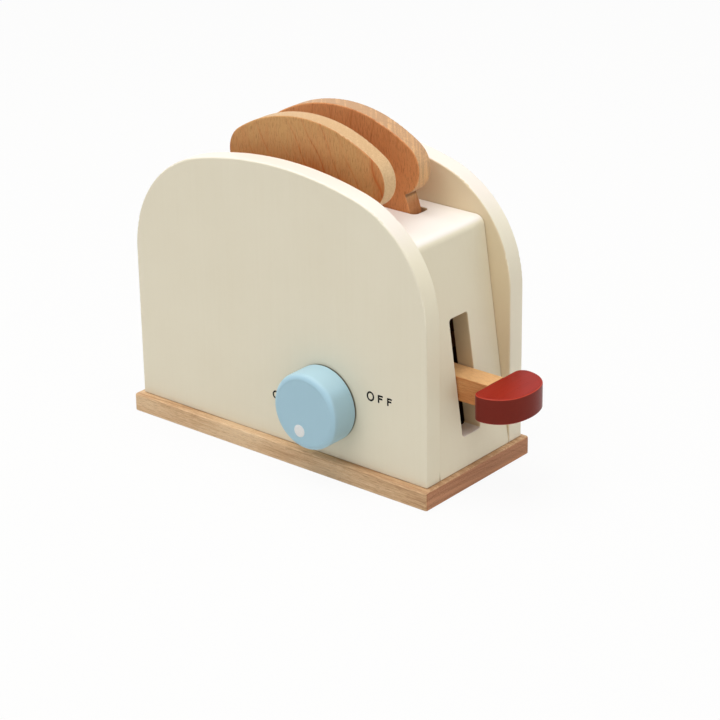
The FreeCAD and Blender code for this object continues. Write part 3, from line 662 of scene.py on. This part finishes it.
def outlineN(width, height):
    stroke = lettering["stroke"]
    slant = stroke * lettering["slant"]
    return [(0, 0), (stroke, 0), (stroke, height - slant), (width - stroke, 0), (width, 0),
            (width, height), (width - stroke, height), (width - stroke, slant),
            (stroke, height), (0, height)]


def raiseLetter(mesh, kind, left, foot, width, height):
    back = panelFace + lettering["skin"] * millimetre
    front = panelFace - lettering["skin"] * millimetre

    def corner(x, z):
        return mesh.verts.new((knobMiddle.x + (left + x) * millimetre, back,
                               knobMiddle.z + (foot + z) * millimetre))

    if kind == "O":
        rings = []
        for inset in (0, lettering["stroke"]):
            rings.append([corner(width / 2 + (width / 2 - inset) * cosine,
                                 height / 2 + (height / 2 - inset) * sine)
                          for cosine, sine in roundSteps(lettering["steps"])])
        faces = bridge(mesh, *rings)
    else:
        outline = {"F": outlineF, "N": outlineN}[kind](width, height)
        letter = mesh.faces.new([corner(x, z) for x, z in outline])
        bmesh.ops.bevel(mesh, geom=letter.verts[:], offset=lettering["ease"] * millimetre,
                        segments=lettering["easeSteps"], affect="VERTICES")
        # only the letter just laid shares no edge with another face
        faces = [face for face in mesh.faces if not any(len(edge.link_faces) > 1 for edge in face.edges)]
    grown = bmesh.ops.extrude_face_region(mesh, geom=faces, use_keep_orig=True)
    for vertex in grown["geom"]:
        if isinstance(vertex, bmesh.types.BMVert):
            vertex.co.y = front


ink = printed("blackInk", inkLook)
for word in ("on", "off"):
    letters = bmesh.new()
    for letter in lettering[word]:
        raiseLetter(letters, *letter)
    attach(newPiece(word + "_lettering", letters, ink), "housing")
print("ON and OFF printed")


# knob dot: aside and above are where it sits from the knob's middle, and buried is how deep its back
# lies in the knob. The rim goes inwards from the edge, in rims, as it rises, in thicknesses, and the
# crown is where the face is a little higher still, in radii and in thicknesses
knobDot = {
    "radius": 3.2, "aside": -2.9, "above": -10.2, "thickness": 0.12, "buried": 0.05, "rim": 0.1,
    "rimSteps": ((0.0, 0.4), (0.3, 0.8), (1.0, 1.0)), "crown": (0.5, 1.05), "steps": 48,
}


def dotProfile():
    radius, thickness = knobDot["radius"], knobDot["thickness"]
    crownReach, crownRise = knobDot["crown"]
    profile = [(radius, knobDot["buried"])]
    for inwards, rise in knobDot["rimSteps"]:
        profile.append((radius - knobDot["rim"] * inwards, -thickness * rise))
    profile.append((radius * crownReach, -thickness * crownRise))
    return profile


def makeKnobDot():
    mesh = bmesh.new()
    middle = Vector((knobMiddle.x + knobDot["aside"] * millimetre, 0,
                     knobMiddle.z + knobDot["above"] * millimetre))
    rings = []
    for reach, y in dotProfile():
        rings.append([mesh.verts.new((middle.x + reach * cosine * millimetre,
                                      knobLow.y + y * millimetre,
                                      middle.z + reach * sine * millimetre))
                      for cosine, sine in roundSteps(knobDot["steps"])])
    joinRings(mesh, rings)
    dot = newPiece("knob_dot", mesh, printed("whitePaint", dotLook))
    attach(dot, "turning_knob")
    smoothBands(dot)


makeKnobDot()
print("knob dot painted")


# return springs: round wire coils with closed ends, between the base board and the tray. closed is how
# many turns lie close together at each end, rising by closedRise a turn, and opening how many turns it
# then takes to open. grip is how many wire widths at each end stay with the wood there
returnSpring = {
    "wire": 0.35, "turns": 8.0, "closed": 0.9, "closedRise": 0.72, "opening": 0.5, "grip": 3,
    "stepsRound": 28, "sides": 8,
}


def riseOfTurns(height):
    steps = int(returnSpring["turns"] * returnSpring["stepsRound"])
    opened = []
    for step in range(steps):
        turn = (step + 0.5) / returnSpring["stepsRound"]
        fromEnd = min(turn, returnSpring["turns"] - turn) - returnSpring["closed"]
        share = min(max(fromEnd / returnSpring["opening"], 0.0), 1.0)
        opened.append(share * share * (3 - 2 * share))        # eased in and out
    closedStep = returnSpring["closedRise"] / returnSpring["stepsRound"]
    spare = (height - closedStep * steps) / sum(opened)
    levels = [0.0]
    for share in opened:
        levels.append(levels[-1] + closedStep + share * spare)
    return levels


def makeSpring(side):
    low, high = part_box("return_spring_" + side)
    middle = (low + high) / 2
    wire = returnSpring["wire"] * millimetre
    reach = (high.x - low.x) / 2 - wire
    levels = riseOfTurns((high.z - low.z) / millimetre - returnSpring["wire"] * 2)
    mesh = bmesh.new()
    rings = []
    for step, level in enumerate(levels):
        angle = 2 * math.pi * step / returnSpring["stepsRound"]
        outward = Vector((math.cos(angle), math.sin(angle), 0))
        before, after = levels[max(step - 1, 0)], levels[min(step + 1, len(levels) - 1)]
        climb = (after - before) / 2 * millimetre * returnSpring["stepsRound"] / (2 * math.pi * reach)
        across = outward.cross(Vector((-outward.y, outward.x, climb))).normalized()
        centre = Vector((middle.x, middle.y, low.z + wire + level * millimetre)) + outward * reach
        rings.append([mesh.verts.new(centre + (outward * cosine + across * sine) * wire)
                      for cosine, sine in roundSteps(returnSpring["sides"])])
    joinRings(mesh, rings)
    spring = newPiece("coil_spring_" + side, mesh, platedSteel)
    smoothBands(spring)
    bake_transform(spring)
    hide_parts("return_spring_" + side)


for side in ("front", "rear"):
    makeSpring(side)
print("return springs coiled")


# studio: a white table under a big soft lamp, with sizes and places in metres and power in watts
lamps = {
    "overhead": {"size": 1.4, "place": (-0.15, -0.2, 1.5), "aim": (0.0, 0.0, 0.0), "power": 23.6},
    "front": {"size": 1.2, "place": (-0.7, -1.5, 0.8), "aim": (0.0, 0.0, 0.08), "power": 3.2},
    "end": {"size": 1.0, "place": (1.7, -0.3, 0.7), "aim": (0.0, 0.0, 0.08), "power": 4.9},
    "back": {"size": 1.2, "place": (0.9, 1.5, 0.8), "aim": (0.0, 0.0, 0.08), "power": 4.0},
}
# glow lights the toaster and white is what is seen of the room. floorWhite is how much of the floor is
# seen plain white, over its shadow, and floorDrop keeps it just under the base board
room = {
    "glow": 0.33, "white": 1.0, "floorTint": (215, 213, 208), "floorWhite": 0.93,
    "floorRadius": 5.0, "floorSides": 64, "floorDrop": 0.00005,
}


def makeLamp(name, lamp):
    data = bpy.data.lights.new(name, "AREA")
    data.shape = "SQUARE"
    data.size = lamp["size"]
    data.energy = lamp["power"]
    light = bpy.data.objects.new(name, data)
    light.location = lamp["place"]
    light.rotation_mode = "QUATERNION"
    light.rotation_quaternion = (Vector(lamp["aim"]) - light.location).to_track_quat("-Z", "Y")
    bpy.context.scene.collection.objects.link(light)


# 1 where a surface is looked at, straight, in a mirror or through glass, and 0 where it lights others
def lookedAt(maker):
    seen = maker.node("ShaderNodeLightPath", output="Is Camera Ray")
    for kind in ("Is Glossy Ray", "Is Transmission Ray"):
        seen = seen.larger(maker.node("ShaderNodeLightPath", output=kind))
    return seen


def makeWorld():
    world = bpy.data.worlds.new("whiteRoom")
    bpy.context.scene.world = world
    maker = NodeMaker(world)
    glow = maker.node("ShaderNodeBackground", None, {"Color": (1, 1, 1, 1), "Strength": room["glow"]})
    white = maker.node("ShaderNodeBackground", None, {"Color": (1, 1, 1, 1), "Strength": room["white"]})
    mixed = maker.node("ShaderNodeMixShader", None, {0: lookedAt(maker), 1: glow, 2: white})
    maker.node("ShaderNodeOutputWorld", None, {"Surface": mixed})


def whiteTable():
    material = bpy.data.materials.new("whiteTable")
    maker = NodeMaker(material)
    matt = maker.node("ShaderNodeBsdfDiffuse", None, {"Color": colour(*room["floorTint"])})
    white = maker.node("ShaderNodeEmission")
    share = lookedAt(maker) * room["floorWhite"]
    mixed = maker.node("ShaderNodeMixShader", None, {0: share, 1: matt, 2: white})
    maker.node("ShaderNodeOutputMaterial", None, {"Surface": mixed})
    return material


def makeFloor():
    mesh = bmesh.new()
    bmesh.ops.create_circle(mesh, cap_ends=True, segments=room["floorSides"], radius=room["floorRadius"])
    data = bpy.data.meshes.new("floor")
    mesh.to_mesh(data)
    mesh.free()
    data.materials.append(whiteTable())
    floor = bpy.data.objects.new("floor", data)
    floor.location.z = -room["floorDrop"]
    bpy.context.scene.collection.objects.link(floor)


for name, lamp in lamps.items():
    makeLamp(name, lamp)
makeWorld()
makeFloor()
bpy.context.scene.view_settings.view_transform = "Standard"
print("lamps, room and floor set")
